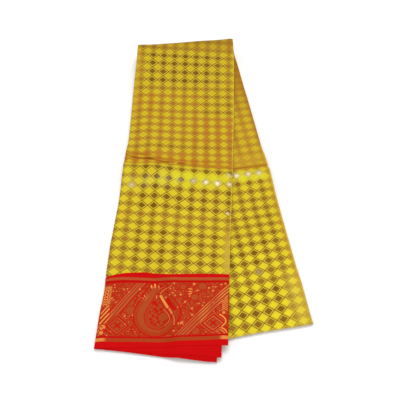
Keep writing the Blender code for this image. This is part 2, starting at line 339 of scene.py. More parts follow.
def gridFaces(index, outward):
    # the four corners of each cell of a grid of point numbers
    corners = [index[:-1, :-1], index[1:, :-1], index[1:, 1:], index[:-1, 1:]]
    return np.stack(corners if outward > 0 else corners[::-1], -1).reshape(-1, 4)


def newPiece(name, points, faces):
    mesh = bpy.data.meshes.new(name)
    mesh.from_pydata(points.reshape(-1, 3).tolist(), [], faces.tolist())
    mesh.shade_smooth()
    piece = bpy.data.objects.new(name, mesh)
    bpy.context.scene.collection.objects.link(piece)
    return piece


def sheetMesh(name, points, outward, uv, attributes):
    # a grid of points as an object with smooth faces, its UV map and its point attributes
    shape = points.shape[:2]
    faces = gridFaces(np.arange(shape[0] * shape[1]).reshape(shape), outward)
    piece = newPiece(name, points, faces)
    layer = piece.data.uv_layers.new(name="lattice")
    values = np.stack(uv, -1).reshape(-1, 2)[faces.reshape(-1)]
    layer.data.foreach_set("uv", values.astype(np.float32).ravel())
    for key, value in attributes.items():
        attribute = piece.data.attributes.new(key, "FLOAT", "POINT")
        values = np.broadcast_to(value, shape).astype(np.float32)
        attribute.data.foreach_set("value", values.ravel())
    return piece


def giveThickness(piece, thickness):
    bpy.ops.object.select_all(action="DESELECT")
    bpy.context.view_layer.objects.active = piece
    piece.select_set(True)
    wall = piece.modifiers.new("wall", "SOLIDIFY")
    wall.thickness = thickness
    wall.offset = -1
    bpy.ops.object.modifier_apply(modifier=wall.name)
    piece.select_set(False)


def finishPiece(piece, node, material, restsOn):
    piece.data.materials.clear()
    piece.data.materials.append(material)
    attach(piece, "root")
    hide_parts(node)


# The stack of layers between, in metres: how far it stops short of both loose ends, how much its upper
# end slants, and where its right edge draws in towards that end
stack = {
    "upperInset": 0.003,
    "lowerInset": 0.0053,
    "fan": 0.0151,
    "right": 0.120,
    "drawnIn": 0.022,
    "drawStart": 0.765,
    "drawRamp": 0.05,
}


def hiddenEdge(distance):
    return stack["right"] - stack["drawnIn"] * rise(distance, stack["drawStart"], stack["drawRamp"])


# Where the shifts of a stretch's two ends, and the drawing in of its right side, take effect
endReach = {"start": 0.05, "end": 0.09, "rightShare": 0.15}


def fadeFrom(distance, end, reach):
    # 1 at the end of a stretch, and down to 0 at its reach from there
    return np.clip(1 - np.abs(distance - end) / reach, 0, 1)


def clothPoints(
    rows, columns, offset, outward, startShift=None, endShift=None, rightEdge=None, lift=None
):
    # a stretch of cloth: s, t and a point for each row and column. Shifts slant or bend its two ends
    distance = np.repeat(rows[:, :1], len(columns), 1)
    share = np.repeat(columns[None, :, 0], len(rows), 0)
    if startShift is not None:
        nearStart = np.clip(1 - (distance - rows[0, 0]) / endReach["start"], 0, 1)
        distance = distance + startShift(share) * nearStart
    if endShift is not None:
        distance = distance + endShift(share) * fadeFrom(rows[:, :1], rows[:, 0].max(), endReach["end"])
    left, right = edgePositions(distance)
    if rightEdge is not None:
        limit = rightEdge(distance) if callable(rightEdge) else rightEdge
        surplus = np.maximum(right - limit, 0)
        right = right - surplus * np.clip(1 - (1 - share) / endReach["rightShare"], 0, 1)
    across = left + (right - left) * share + columns[None, :, 1]
    drop = np.maximum(rows[:, 1:2], columns[None, :, 2])
    lifted = offset + (lift(distance, across) if lift else 0.0)
    return distance / mm, across / mm, place(distance, across, lifted - outward * drop)


# Shader helpers
def makeMaterial(name):
    material = bpy.data.materials.new(name)
    material.use_nodes = True
    return material, material.node_tree, material.node_tree.nodes["Principled BSDF"]


def feed(tree, node, inputs):
    # links and values for a node's inputs
    for key, value in inputs.items():
        if isinstance(value, bpy.types.NodeSocket):
            tree.links.new(value, node.inputs[key])
        elif value is not None:
            node.inputs[key].default_value = value


def addNode(tree, kind, inputs, output=0, **settings):
    node = tree.nodes.new("ShaderNode" + kind)
    for key, value in settings.items():
        setattr(node, key, value)
    feed(tree, node, inputs)
    return node.outputs[output]


def latticePlaceOf(tree):
    return addNode(tree, "UVMap", {}, uv_map="lattice")


def readAttribute(tree, name):
    return addNode(tree, "Attribute", {}, "Fac", attribute_name=name)


def calc(tree, operation, a, b):
    return addNode(tree, "Math", {0: a, 1: b}, operation=operation)


def times(tree, a, b):
    return calc(tree, "MULTIPLY", a, b)


def lessened(tree, start, value, share):
    return calc(tree, "SUBTRACT", start, times(tree, value, share))


def blendColour(tree, share, a, b, mode="MIX"):
    return addNode(tree, "Mix", {0: share, 6: a, 7: b}, 2, data_type="RGBA", blend_type=mode)


def layColours(tree, colour, layers):
    for share, tint in layers:
        colour = blendColour(tree, share, colour, tint)
    return colour


def colourRamp(tree, value, stops):
    node = tree.nodes.new("ShaderNodeValToRGB")
    ramp = node.color_ramp
    while len(ramp.elements) < len(stops):
        ramp.elements.new(0.5)
    for element, (position, colour) in zip(ramp.elements, stops):
        element.position = position
        element.color = colour
    feed(tree, node, {0: value})
    return node.outputs[0]


def greyRamp(tree, value, *stops):
    return colourRamp(tree, value, [(position, (level, level, level, 1)) for position, level in stops])


def noise(tree, vector, scale, detail=2.0):
    return addNode(tree, "TexNoise", {"Scale": scale, "Detail": detail, "Vector": vector})


def stretched(tree, vector, scale):
    return addNode(tree, "Mapping", {"Scale": scale, "Vector": vector})


def threadNoise(tree, uv, weftScale):
    # the threads' thickness, down the cloth and across it, and both together
    slub = noise(tree, stretched(tree, uv, (90, 5, 1)), 1.0, 3)
    weft = noise(tree, stretched(tree, uv, weftScale), 1.0, 3)
    return slub, weft, calc(tree, "ADD", times(tree, slub, 0.5), times(tree, weft, 0.5))


def bump(tree, height, relief, normal=None):
    # relief: how deep in metres, and how strong
    inputs = {"Distance": relief[0], "Strength": relief[1], "Height": height, "Normal": normal}
    return addNode(tree, "Bump", inputs)


# Yellow brocade with small zari diamonds. Colours are linear
brocade = {
    "lemon": (0.83, 0.70, 0.016, 1),
    "gold": (0.57, 0.39, 0.008, 1),
    "glare": (0.70, 0.655, 0.018, 1),
    "glintCloth": (0.82, 0.74, 0.26, 1),
    "haze": (0.53, 0.30, 0.020, 1),
    "smear": (0.44, 0.125, 0.013, 1),
    "edge": (0.68, 0.51, 0.060, 1),
    "shadow": (0.07, 0.035, 0.003, 1),
    "paleThread": (0.64, 0.48, 0.055, 1),
    "ochre": (0.46, 0.31, 0.009, 1),
    "ochreShadedTop": (0.37, 0.23, 0.008, 1),
    "copperMargin": (0.50, 0.25, 0.010, 1),
    "line": (0.13, 0.075, 0.001, 1),
    "zariDark": (0.170, 0.080, 0.0005, 1),
    "zariMiddle": (0.31, 0.155, 0.011, 1),
    "zariCopper": (0.45, 0.175, 0.026, 1),
    "glintHighlight": (0.88, 0.78, 0.52, 1),
    "foldShadeTint": (0.46, 0.18, 0.010, 1),
    "foldShadeDark": (0.23, 0.075, 0.005, 1),
    "roughness": 0.6,
    "zariRoughness": 0.42,
    "zariMetal": 0.10,
    "glintMetal": 0.15,
    "gloss": 0.04,
    "threadRelief": (0.0003, 0.35),
    "zariRelief": (0.0003, 0.4),
}

# The zari diamond and the rings round it: how far from its middle, and how much of each tint
weave = {
    "diamond": ((0.31, 1), (0.34, 0)),
    "margin": ((0.29, 1), (0.50, 1), (0.555, 0.8), (0.62, 0)),
    "frame": ((0.33, 0), (0.36, 1), (0.41, 1), (0.445, 0)),
    "line": ((0.45, 0), (0.485, 1), (0.515, 1), (0.55, 0)),
    "outerFrame": ((0.58, 0), (0.63, 0.45), (0.70, 0.45), (0.78, 0)),
}


def makeBrocade(name):
    b = brocade
    material, tree, shader = makeMaterial(name)
    uv = latticePlaceOf(tree)
    # how far from the middle of the nearest zari diamond, 0.5 on the dark line round it
    u, v = (addNode(tree, "SeparateXYZ", {0: uv}, k) for k in (0, 1))
    d = calc(tree, "ADD", calc(tree, "PINGPONG", u, 0.5), calc(tree, "PINGPONG", v, 0.5))
    slub, weft, threads = threadNoise(tree, uv, (6, 110, 1))
    blotch = noise(tree, uv, 0.7, 2)

    keys = ("sun", "tone", "fold", "glare", "glint", "smear", "haze", "edge", "shade")
    sun, tone, fold, glare, glint, smear, haze, edge, dimmed = (readAttribute(tree, key) for key in keys)
    # painted light: lemon where the cloth is lit more, darker gold where it is shaded
    yellow = blendColour(tree, sun, b["gold"], b["lemon"])
    yellow = blendColour(tree, greyRamp(tree, blotch, (0.35, 0), (0.75, 0.35)), yellow, b["gold"])
    # the margins, too, are painted darker where the cloth is shaded
    margin = blendColour(tree, times(tree, sun, 2.0), b["ochreShadedTop"], b["ochre"])
    # and copper where the zari has its painted sheen
    margin = blendColour(tree, times(tree, tone, 0.75), margin, b["copperMargin"])
    ring = {key: greyRamp(tree, d, *stops) for key, stops in weave.items()}
    cloth = layColours(tree, yellow, (
        (ring["margin"], margin),
        (times(tree, ring["frame"], lessened(tree, 1.0, tone, 0.55)), b["paleThread"]),
        (ring["outerFrame"], b["paleThread"]),
        (times(tree, ring["line"], lessened(tree, 0.95, tone, 0.45)), b["line"]),
        # painted highlights where the cloth catches the light
        (glare, b["glare"]),
        (times(tree, glint, 0.6), b["glintCloth"]),
    ))

    # the zari's painted sheen, from dark to copper by tone
    zari = colourRamp(tree, tone, ((0.0, b["zariDark"]), (0.5, b["zariMiddle"]), (1.0, b["zariCopper"])))
    zari = blendColour(tree, 1.0, zari, greyRamp(tree, slub, (0.3, 0.93), (0.7, 1.07)), "MULTIPLY")
    foldDepth = greyRamp(tree, fold, (0.45, 0), (0.9, 1))
    colour = layColours(tree, cloth, (
        # painted glints on the zari
        (ring["diamond"], blendColour(tree, glint, zari, b["glintHighlight"])),
        # painted sheen that hides the weave
        (haze, b["haze"]),
        # painted copper sheen and shade on the crease
        (smear, b["smear"]),
        # painted shade in the crease's folds and near the turn
        (fold, blendColour(tree, foldDepth, b["foldShadeTint"], b["foldShadeDark"])),
        # painted highlight along the edges
        (edge, b["edge"]),
        # painted shade where the cloth turns over the fold or the other leg shades it
        (dimmed, b["shadow"]),
    ))
    shade = greyRamp(tree, weft, (0.3, 0.90), (0.7, 1.06))
    metal = calc(tree, "ADD", b["zariMetal"], times(tree, glint, b["glintMetal"]))
    feed(tree, shader, {
        "Base Color": blendColour(tree, 1.0, colour, shade, "MULTIPLY"),
        "Roughness": greyRamp(tree, ring["diamond"], (0, b["roughness"]), (1, b["zariRoughness"])),
        "Metallic": times(tree, ring["diamond"], metal),
        "Specular IOR Level": b["gloss"],
        "Normal": bump(tree, ring["diamond"], b["zariRelief"], bump(tree, threads, b["threadRelief"])),
    })
    return material


# Painted sheen: how copper the zari looks, from 0 dark to 1, in broad patches of sheen: first and last
# row, first and last column, tone. Later patches lie over earlier ones
upperSheen = (
    (0.5, 4.5, 0.5, 7.0, 0.0), (5.5, 12.5, -2, 5.5, 0.8), (8.5, 12.5, 5.5, 10, 0.95),
    (13.5, 16.5, -2, 10, 0.85), (16.5, 21.5, 0.5, 10, 0.15), (23.5, 27.5, 0.5, 7.5, 0.2),
)
lowerSheen = (
    (-40, -7.5, -2, 6, 0.8), (-7.5, 12, -2, 3.5, 0.3), (-7.5, 12, 3.5, 6, 0.75),
    (0.5, 3.5, -2, 2.5, 0.12), (5.5, 8.5, -2, 2.5, 0.1),
)


# A random step in the tone of each diamond: how large, for how many rows and columns, from which on
toneSteps = {"size": 0.09, "rows": 80, "columns": 40, "firstRow": -40, "firstColumn": -15}


def perCell(column, row, seed):
    shape = (toneSteps["rows"], toneSteps["columns"])
    steps = np.random.default_rng(seed).uniform(-1, 1, shape)
    i = row.astype(int) - toneSteps["firstRow"]
    j = column.astype(int) - toneSteps["firstColumn"]
    return steps[np.clip(i, 0, shape[0] - 1), np.clip(j, 0, shape[1] - 1)]


def zariTone(column, row, patches, seed):
    # each diamond has one tone: the painted sheen of its patch, with a random step of its own
    column, row = np.rint(column), np.rint(row)
    tone = np.full(column.shape, 0.5)
    for top, bottom, left, right, level in patches:
        inside = smooth(row - top + 0.5) * smooth(bottom - row + 0.5)
        inside = inside * smooth(column - left + 0.5) * smooth(right - column + 0.5)
        tone = tone + (level - tone) * inside
    return np.clip(tone + toneSteps["size"] * perCell(column, row, seed), 0, 1)


def spots(s, t, places):
    # soft round spots, each: distance, across, radius in mm, strength
    shine = 0.0
    for centreS, centreT, radius, strength in places:
        apart = np.hypot(s - centreS, t - centreT)
        shine = np.maximum(shine, strength * np.exp(-((apart / radius) ** 2)))
    return shine


def upperFoldShade(s, t):
    # painted shade: dark lines where the crease folds in, strongest at the left
    main = (0.85 - 0.35 * rise(t, -20, 80)) * (0.8 + 0.2 * np.sin(t / 5.5))
    lines = main * foldShare(s, t, (360.5, 381.5, 388.3, 392), 2.4)
    lines = lines + 0.55 * fall(t, -75, 70) * foldShare(s, t, (350, 371, 378, 382), 2.2)
    lines = lines + 0.5 * fall(t, -40, 60) * foldShare(s, t, (368, 374, 380, 384), 1.8)
    return np.clip(lines + 0.25 * foldShare(s, t, (358, 377, 384, 388), 12), 0, 1)


def lowerFoldShade(s, t):
    # painted shade near the turn, along the right edge near it, and in the crease
    near = 0.45 * fall(-s, 150, 60)
    copperEdge = 0.4 * rise(t, 109, 6) * fall(-s, 360, 60)
    return np.clip(np.maximum(near, copperEdge) + 0.85 * foldShare(s, t, (-400, -401, -401.5), 2.6), 0, 1)


# Painted copper sheen and shade on the crease: distance, across, radius in mm, strength
copperSheenSpots = (
    (377, -14, 7, 0.95), (384, -13, 5, 0.6), (378, 37, 5, 0.9), (388, 38, 5, 0.85), (388, 63, 5, 0.7),
    (352, 62, 5, 0.3),
)


def upperCopperSheenShade(s, t, column, row):
    # painted sheen and shade: copper bands down the columns, strongest on the crease
    stripe = fall(np.abs(column - np.rint(column)), 0.16, 0.22)
    around = 0.27 * span(row, 13.2, 0.5, 15.9, 0.3)
    onLine = span(row, 14.45, 0.25, 15.55, 0.3) * (0.7 - 0.45 * rise(column, 5.5, 1.2))
    atLeft = 0.5 * fall(column, 0.4, 0.8) * span(row, 13.6, 0.3, 15.1, 0.3)
    above = 0.30 * rise(column, 4.4, 0.8) * span(row, 8.2, 1.2, 13, 1)
    above = above + 0.18 * fall(column, 1.4, 1) * span(row, 5.4, 0.8, 8.3, 0.8)
    above = above + 0.30 * fall(row, -0.2, 0.6) * (0.6 + 0.4 * np.sin(t / 13))
    return stripe * np.max((around, onLine, atLeft, above, spots(s, t, copperSheenSpots)), axis=0)


def upperSheenHaze(t, column, row):
    # painted sheen: where the silk's sheen hides the weave, along the fold, beside both edges, and above
    # the crease
    fold = 0.25 * fall(row, -0.6, 0.8)
    right = 0.25 * rise(t, 104, 8) * rise(row, 20, 4)
    left = 0.40 * fall(column, -0.35, 0.5) * fall(row, 7, 4)
    return np.max((fold, right, left, 0.08 * span(row, 12.5, 1.0, 16.0, 0.5)), axis=0)


def lowerSheenHaze(column, row):
    # painted sheen near the turn, on the crease, and towards the right
    near = 0.25 * fall(row, -9.6, 2.0)
    crease = 0.55 * span(row, -10.6, 1.0, -8.1, 0.3)
    return np.max((near, crease, 0.25 * rise(column, 3.2, 0.8) * fall(row, 4, 2)), axis=0)


# Where the cloth past the crease catches the light: distance, across, radius in mm, strength
upperGlare = (
    (421, -28, 11, 0.6), (421, 2, 14, 0.8), (425, 28, 17, 0.85), (428, 58, 16, 0.9),
    (428, 86, 15, 0.8), (426, 107, 12, 0.6), (446, 25, 10, 0.5), (446, 62, 10, 0.45),
    (430, -36, 14, 0.35), (428, -65, 18, 0.3), (428, -100, 14, 0.3), (405, -106, 9, 0.4),
    (441, -93, 9, 0.5),
)
upperGlints = (
    (431, -95, 14, 0.14), (430, -60, 14, 0.16), (430, -25, 14, 0.16), (431, 5, 10, 0.2),
    (434.3, 65.3, 6, 0.85), (436.4, 89.2, 6.5, 0.9), (437, 114.7, 5, 0.8), (432, 38.5, 6.5, 0.5),
    (417.7, 112.5, 5, 0.75), (439, -93, 6.5, 0.5), (430.5, 12.3, 6, 0.15), (504, 113, 3.5, 0.8),
)
lowerGlare = ((-428, 57, 17, 0.8), (-430, 92, 16, 0.75), (-414, 60, 9, 0.5))
lowerGlints = ((-424, 43.5, 7, 0.8), (-423, 68.7, 7, 0.7), (-424, 91.4, 7, 0.65), (-650, 43, 5, 0.25))


def pastRight(s, t):
    # mm past the strip's right edge, below 0 on the cloth
    return t - readTable(edgeTable, 2, s)


def upperEdge(s, t):
    # the folded right edge of the upper leg catches the light
    along = rise(s, 40, 40) * (0.72 + 0.28 * np.sin(s / 11) * np.sin(s / 4.3))
    narrow = 0.85 * rise(pastRight(s, t), -2.6, 1.2) * along
    return np.maximum(narrow, 0.45 * rise(pastRight(s, t), -16, 9) * rise(s, 530, 60))


def upperShade(s):
    # painted shade: the cloth gets darker where it turns over the fold
    return 0.16 * fall(s, 40, 22) + 0.12 * fall(s, 32, 5)


def lowerEdge(s, t):
    # painted highlight: the lower leg's right edge and its loose end are paler
    narrow = 0.6 * rise(pastRight(s, t), -4.8, 2.4) * rise(-s, 320, 70)
    wide = 0.4 * rise(t, 76, 24) * rise(-s, 630, 60)
    return np.max((narrow, wide, 0.5 * rise(-s, 769, 4)), axis=0)


def lowerShade(s, t):
    # darker beside its right edge, and near the turn, where the upper leg shades it
    beside = 0.16 * rise(pastRight(s, t), -6, 4) * fall(-s, 300, 80)
    return np.maximum(beside, 0.12 * fall(-s, 190, 80))


# Painted light: how lemon, rather than shaded gold, the yellow is: distances from the turn in mm, and
# shares
upperSun = ((-60, 60, 330, 400, 440), (0.0, 0.08, 0.13, 0.28, 0.5))
lowerSun = ((60, 330, 400, 440, 560, 620, 770), (0.0, 0.1, 0.25, 0.5, 0.55, 0.8, 1.0))


def upperLook(s, t, column, row):
    return {
        "tone": zariTone(column, row, upperSheen, 3),
        "sun": np.interp(s, *upperSun),
        "fold": upperFoldShade(s, t),
        "glare": spots(s, t, upperGlare),
        "glint": spots(s, t, upperGlints),
        "smear": upperCopperSheenShade(s, t, column, row),
        "haze": upperSheenHaze(t, column, row),
        "edge": upperEdge(s, t),
        "shade": upperShade(s),
    }


def lowerLook(s, t, column, row):
    return {
        "tone": zariTone(column, row, lowerSheen, 5),
        "sun": np.interp(-s, *lowerSun),
        "fold": lowerFoldShade(s, t),
        "glare": spots(s, t, lowerGlare),
        "glint": spots(s, t, lowerGlints),
        "haze": lowerSheenHaze(column, row),
        "edge": lowerEdge(s, t),
        "shade": lowerShade(s, t),
    }


def hiddenLook(*spot):
    return {"tone": 0.3, "sun": 0.4, "haze": 0.1}


print("cloth stretches")
# The yellow cloth in metres: wall, spacing of its points, where it ends under the pallu, its flat width
yellowCloth = {
    "wall": 0.00035,
    "columnStep": 0.004,
    "besideEdge": (0.0012, 0.0024),
    "upperStep": 0.002,
    "lowerStep": 0.003,
    "undersideStep": 0.006,
    "underPallu": 0.655,
    "lowerUndersideInset": 0.0063,
    "flatWidth": 0.253,
}
halfLeg = laid["legThickness"] / 2
turnStart = laid["turnStart"]
faceColumns = acrossColumns(yellowCloth["columnStep"], beside=yellowCloth["besideEdge"])
upperLeg = (makeBrocade("yellow brocade, upper leg"), upperLatticePlace)
lowerLeg = (makeBrocade("yellow brocade, lower leg"), lowerLatticePlace)


def layYellow(name, leg, rows, outer, look, flatLength, restsOn, **bends):
    # a stretch of the brocade on the strip's outer side, 1, or its inner side, -1
    material, latticeOf = leg
    s, t, points = clothPoints(rows, faceColumns, outer * halfLeg, outer, **bends)
    uv = latticeOf(s, t)
    piece = sheetMesh(name + "_cloth", points, outer, uv, look(s, t, *uv))
    giveThickness(piece, yellowCloth["wall"])
    finishPiece(piece, name + "_stretch", material, restsOn)


def stackSlant(share):
    return stack["fan"] * share


def shiftAcross(shares, shifts):
    # how an end wanders, as a function: mm towards the upper loose end at shares across the strip
    return lambda share: np.interp(share, shares, shifts) * mm


seamShift = shiftAcross((0, 0.08, 0.16, 0.32, 0.52, 0.8, 1), (11, 4, -0.5, -3.5, 3, -1, -2))
lowerEndShift = shiftAcross((0, 0.28, 0.36, 0.6, 0.8, 0.9, 1), (-3.4, -1, 0.4, 2.9, 3, 3.2, 4.1))

# Upper leg: its face, over the turn and down to the pallu, then its underside and the inside of the turn
rows = alongRows(-turnStart, yellowCloth["underPallu"], yellowCloth["upperStep"])
layYellow("upper_body", upperLeg, rows, 1, upperLook, 0.69, "folded_layers", lift=upperRelief)
end = laid["upperEnd"] - stack["upperInset"]
rows = alongRows(-turnStart, end, yellowCloth["undersideStep"], turnEnd=True)
bends = {"endShift": stackSlant, "rightEdge": hiddenEdge, "lift": hiddenRelief}
layYellow("upper_underside", upperLeg, rows, -1, hiddenLook, 0.85, "folded_layers", **bends)

# Lower leg: its face, then its underside
rows = alongRows(-laid["lowerEnd"], -turnStart, yellowCloth["lowerStep"], turnStart=True)
bends = {"startShift": lowerEndShift, "lift": lowerRelief}
layYellow("lower_body", lowerLeg, rows, -1, lowerLook, 0.75, "folded_layers", **bends)
start = -laid["lowerEnd"] + yellowCloth["lowerUndersideInset"]
rows = alongRows(start, -turnStart, yellowCloth["undersideStep"], turnStart=True)
layYellow("lower_underside", lowerLeg, rows, 1, hiddenLook, 0.75, "floor")


print("folded layers")
# Lips of the layers between, in mm: how many in each leg, the grooves between them, how far lips wander,
# how far the flat top and bottom lie inside. The spacing of points is in metres
lips = {
    "count": 7,
    "half": 3.05,
    "groove": 1.6,
    "shoulder": 0.28,
    "inset": 0.5,
    "wander": 1.3,
    "flatInset": 3.4,
    "step": 0.005,
    "columnStep": 0.012,
}


def lipLevels(around):
    # height and inset of each line round the stack, in mm. Around is the place along its rim
    groove, shoulder, high = lips["groove"], lips["shoulder"], 2 * lips["half"] / lips["count"]
    levels = [(lips["half"], lips["flatInset"])]
    for k in range(lips["count"]):
        wander = lips["inset"] + lips["wander"] * (0.5 + 0.5 * np.sin(around / (61 + 17 * k) + 2.1 * k))
        wander = wander + 0.25 * np.sin(around / (19 + 5 * k) + 1.3 * k)
        profile = ((0.06, groove), (0.22, shoulder), (0.5, 0), (0.78, shoulder), (0.94, groove))
        for share, inward in profile:
            levels.append((lips["half"] - (k + share) * high, wander + inward))
    return levels + [(-lips["half"], lips["flatInset"])]


def makeLayers():
    start, end = -laid["lowerEnd"] + stack["lowerInset"], laid["upperEnd"] - stack["upperInset"]
    lines = np.linspace(start, end, int(round((end - start) / lips["step"])) + 1)
    shares = np.linspace(0, 1, int(round(laid["stripWidth"] / lips["columnStep"])) + 1)
    shape = (len(lines), len(shares))
    grid = np.arange(shape[0] * shape[1]).reshape(shape)
    rim = np.concatenate([grid[0, :-1], grid[:-1, -1], grid[-1, :0:-1], grid[:0:-1, 0]])
    rimPlace = np.divmod(rim, shape[1])
    ring = np.arange(len(rim))
    levels = lipLevels(ring * lips["step"] / mm)

    def levelPoints(i, j, level):
        # rows i and columns j of the stack at one of its levels
        height, inset = level[0] * mm, level[1] * mm
        distance = np.clip(lines[i], start + inset, end - inset)
        distance = distance + stackSlant(shares[j]) * fadeFrom(lines[i], end, endReach["end"])
        left, right = edgePositions(distance)
        surplus = np.maximum(right - hiddenEdge(distance), 0)
        across = left + (right - left) * shares[j]
        across = across - surplus * np.clip(1 - (1 - shares[j]) / endReach["rightShare"], 0, 1)
        return place(distance, np.clip(across, left + inset, right - surplus - inset), height)

    points = np.concatenate([levelPoints(*rimPlace, level) for level in levels])
    beside = [ring, ring + len(ring), np.roll(ring, -1) + len(ring), np.roll(ring, -1)]
    faces = [np.stack(beside, -1) + k * len(ring) for k in range(len(levels) - 1)]
    # flat top and bottom: a grid of inner points, with the first and the last line as its rim. Its faces
    # start one corner on, and so split along their other diagonal
    for k, outward in ((0, 1), (len(levels) - 1, -1)):
        index = np.full(shape, -1)
        index[rimPlace] = k * len(ring) + ring
        inner = index < 0
        index[inner] = len(points) + np.arange(inner.sum())
        points = np.concatenate([points, levelPoints(*np.indices(shape), levels[k])[inner]])
        faces.append(np.roll(gridFaces(index, outward), 1, axis=1))
    return newPiece("folded_layers", points, np.concatenate(faces))


edgeCloth = {
    "yellow": (0.76, 0.58, 0.07, 1),
    "shadow": (0.48, 0.32, 0.03, 1),
    "zari": (0.30, 0.15, 0.04, 1),
    "dashScale": 76,
    "fineScale": 260,
    "roughness": 0.6,
    "gloss": 0.1,
    "relief": (0.0004, 0.4),
}


def makeEdgeMaterial():
    e = edgeCloth
    material, tree, shader = makeMaterial("folded edges")
    place3d = addNode(tree, "TexCoord", {}, "Object")
    dashes = noise(tree, stretched(tree, place3d, (1, 1, 14)), e["dashScale"], 1)
    fine = noise(tree, stretched(tree, place3d, (1, 1, 6)), e["fineScale"], 3)
    colour = blendColour(tree, greyRamp(tree, dashes, (0.56, 0), (0.62, 0.8)), e["yellow"], e["zari"])
    colour = blendColour(tree, greyRamp(tree, fine, (0.35, 0.5), (0.65, 0)), colour, e["shadow"])
    feed(tree, shader, {
        "Base Color": colour,
        "Roughness": e["roughness"],
        "Specular IOR Level": e["gloss"],
        "Normal": bump(tree, fine, e["relief"]),
    })
    return material


core = makeLayers()
restsOn = "lower_underside_cloth"
finishPiece(core, "hidden_layers", makeEdgeMaterial(), restsOn)


print("pallu")
# Border lines of the pallu in mm: across, seam, upper gold line, crease, band top, band bottom, lower
# gold line
borderTable = (
    (-124, 659, 665.5, 670, 673, 780, 787.5), (-110, 653, 662.5, 667, 671, 779.5, 786.5),
    (-80, 646.5, 659, 664, 668.5, 778.5, 785.5), (-40, 643.5, 658.5, 663, 667, 777.5, 784),
    (5, 650, 660, 665, 667, 776.5, 783), (72, 646, 657.5, 662, 665, 772, 779),
    (122, 645, 655.5, 660, 663, 768, 775),
)

# Places of the band in mm: across, and below the band top, out of its depth. Bronze discs, with a radius
bandDepth = 112
discs = (
    (22, 45, 8.5), (69, 9, 8), (55, 34, 7), (32, 11, 6), (100, 57, 5.5), (-72, 42, 13), (-64, 60, 9),
    (-63, 88, 6), (60, 104, 7), (48, 52, 10), (86, 30, 5),
)

# Painted glints on the zari, as bright specks: a radius and how bright
glintSpecks = (
    (-82, 15, 2.0, 1.0), (-75, 14, 1.8, 1.0), (-72, 21, 1.7, 1.0), (-95, 19, 1.8, 0.9),
    (-99, 38, 1.7, 0.9), (-101, 4, 2.0, 0.9), (-51, 15, 2.2, 1.0), (-72, 76, 1.4, 0.95),
    (-66, 83, 1.4, 0.9), (-72, 88, 1.5, 1.0), (-60, 70, 2.2, 0.85), (-97, 103, 1.5, 0.9),
    (14, 2, 1.8, 0.95), (16, 19, 1.7, 0.85), (0, 33, 1.8, 0.95), (7, 28, 2.0, 0.9),
    (18, 30, 1.8, 0.95), (28, 28, 2.4, 1.0), (24, 55, 1.8, 0.85), (59, 19, 2.2, 1.0),
    (81, 13, 2.4, 1.0), (89, 10, 1.8, 1.0), (112, 2, 2.2, 0.95), (64, 48, 1.8, 1.0),
    (70, 52, 1.8, 1.0), (73, 45, 1.7, 0.95), (51, 58, 2.4, 1.0), (91, 46, 1.6, 0.8),
)

# Bright strokes: the places they run through, half their width and how bright
strokes = (
    (((13, 64), (17, 72), (19.5, 81), (19.5, 90)), 2.0, 0.66),
    (((5, 53), (10, 60), (14, 67)), 2.2, 0.80), (((-10, 29), (-5, 38), (0, 46), (5, 54)), 2.5, 0.97),
    (((-3, 57), (7, 68), (11, 78), (8, 85), (1, 91)), 1.0, 0.75),
    (((-11, 24), (-8, 19), (-4, 16), (1, 13)), 1.3, 0.8), (((3, 12), (10, 8)), 1.2, 0.75),
    (((-15, 15), (-12, 12)), 0.9, 0.85), (((-10, 13), (-8, 10)), 0.9, 0.8),
    (((-6, 11), (-4, 8)), 0.8, 0.75), (((-18, 28), (-18, 33)), 1.2, 0.95),
    (((43, 15), (49, 16)), 1.3, 1.0), (((43, 21), (49, 22)), 1.4, 1.0),
    (((43, 27), (48, 26)), 1.3, 1.0), (((45, 33), (46, 30)), 1.2, 0.95),
    (((103, 72), (109, 76), (114, 82), (115, 89), (109, 96), (104, 100)), 1.5, 1.0),
    (((107, 100), (113, 103), (118, 110)), 1.5, 0.95),
    (((104, 104), (109, 106), (113, 111)), 1.3, 0.85), (((-119, 66), (-107, 50)), 1.5, 0.95),
    (((-119, 76), (-105, 57)), 1.6, 1.0), (((-119, 87), (-104, 67)), 1.6, 1.0),
)

# Diagonal stripes: a place on their upper edge, the way they run, their width, where their lines start
stripeBands = (
    ((118.2, 4.1), (-99.0, 108.7), 19.0, (0.6, 5.6, 10.6, 16.6)),
    ((-57.3, -2.0), (-62.2, 90.4), 16.5, (1.0, 6.0, 12.5)),
)

# Medallions: centre, half width and half height, and how bright
medallions = (((-86.0, 91.0), (24.0, 21.5), 0.62), ((91.5, 89.5), (23.5, 20.0), 0.85))
paisley = {
    "belly": (-12.0, 71.5),
    "bellyRadius": 25.0,
    "tip": (-17.0, 23.0),
    "tipRadius": 0.5,
    "outerBelly": (-14.5, 68.0),
    "outerRadius": 42.5,
    "outerTip": (-24.0, 9.5),
    "outerTipRadius": 8.5,
    "ribs": 58,
}


def pear(x, y, belly, radius, tip, tipRadius):
    # signed distance from a drop shape: circles that shrink from the belly to the tip
    nearest = np.full(x.shape, 1e9)
    for k in np.linspace(0, 1, 30):
        cx = belly[0] + (tip[0] - belly[0]) * k
        cy = belly[1] + (tip[1] - belly[1]) * k
        nearest = np.minimum(nearest, np.hypot(x - cx, y - cy) - (radius + (tipRadius - radius) * k))
    return nearest


def band(value, low, high, soft=0.4):
    # 1 between low and high, with soft edges
    return np.clip((value - low) / soft + 0.5, 0, 1) * np.clip((high - value) / soft + 0.5, 0, 1)


def layAll(pattern, layers):
    # each layer is a mask and the level that it brings
    for mask, level in layers:
        pattern = pattern * (1 - mask) + level * mask
    return pattern


def outlined(distance, level, gap=1.3):
    # a filled shape in a thin red outline
    yield band(distance, -1e3, gap), 0.04
    yield band(distance, -1e3, 0), level


def away(x, y, centre):
    return np.hypot(x - centre[0], y - centre[1])


